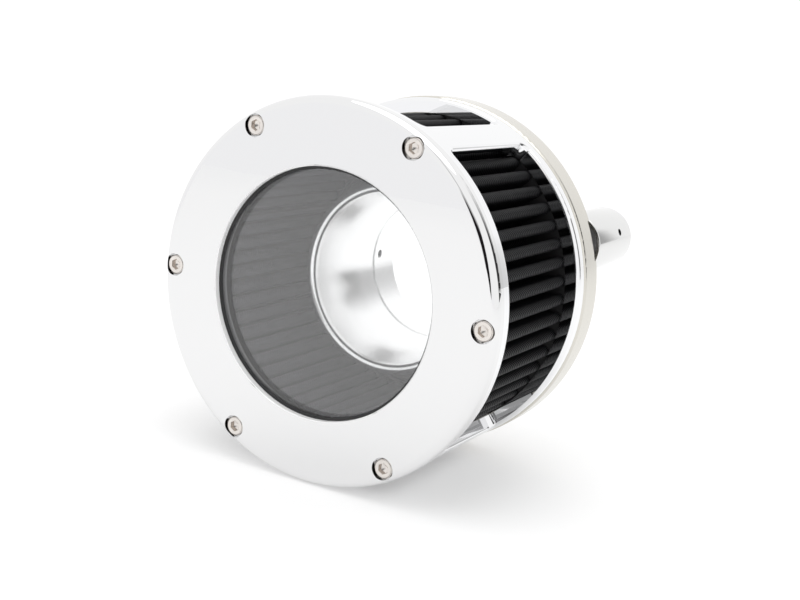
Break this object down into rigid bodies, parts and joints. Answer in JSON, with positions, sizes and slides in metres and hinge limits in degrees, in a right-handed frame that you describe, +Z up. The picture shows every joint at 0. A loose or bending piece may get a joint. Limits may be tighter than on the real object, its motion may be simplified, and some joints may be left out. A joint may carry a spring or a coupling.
{
  "type": "air filter",
  "caption": "Round billet air cleaner: a polished face ring with a clear window over an intake bell, a pleated filter in an open cage, and a thick back plate with two breather standoffs.",
  "frame": {"origin": "centre of the rear face that bolts to the throttle body", "axes": "+Y back along the air path into the throttle body, +Z up, the window faces -Y"},
  "size_m": [0.15, 0.1476, 0.15],
  "materials": {
    "chrome": "mirror polished chrome",
    "stainless": "stainless fastener",
    "polished_aluminium": "spun and polished aluminium",
    "machined_aluminium": "as machined",
    "clear_lens": "clear polycarbonate",
    "black_rubber": "moulded rubber",
    "filter_gauze": "black pleated gauze with wire mesh",
    "black_plastic": "black strip"
  },
  "bodies": {
    "base": {"cage": "chrome", "cage_screws": "stainless", "filter_media": "filter_gauze", "filter_front_seal": "black_rubber", "filter_rear_seal": "black_rubber", "filter_seam_strip": "black_plastic", "velocity_stack": "polished_aluminium", "stack_o_ring": "black_rubber", "throttle_adapter": "polished_aluminium", "throttle_o_ring": "black_rubber", "adapter_screws": "stainless", "back_plate": "chrome", "breather_bolt_right": "stainless", "breather_washer_right": "machined_aluminium", "breather_seal_right": "black_rubber", "breather_standoff_right": "chrome", "head_seal_right": "black_rubber", "breather_bolt_left": "stainless", "breather_washer_left": "machined_aluminium", "breather_seal_left": "black_rubber", "breather_standoff_left": "chrome", "head_seal_left": "black_rubber"},
    "cover": {"front_ring": "chrome", "lens_gasket": "black_rubber", "window_lens": "clear_lens", "lens_retainer": "machined_aluminium", "lens_retainer_screws": "stainless"},
    "screws": {"cover_screws": "stainless"}
  },
  "joints": [
    {"name": "cover_slide", "type": "slide", "parent": "base", "child": "cover", "axis": [0, -1, 0], "range_m": [0, 0.06]},
    {"name": "screws_slide", "type": "slide", "parent": "base", "child": "screws", "axis": [0, -1, 0], "range_m": [0, 0.09]}
  ],
  "couplings": [
    {"joint": "screws_slide", "follows": "cover_slide", "ratio": 1.5}
  ]
}
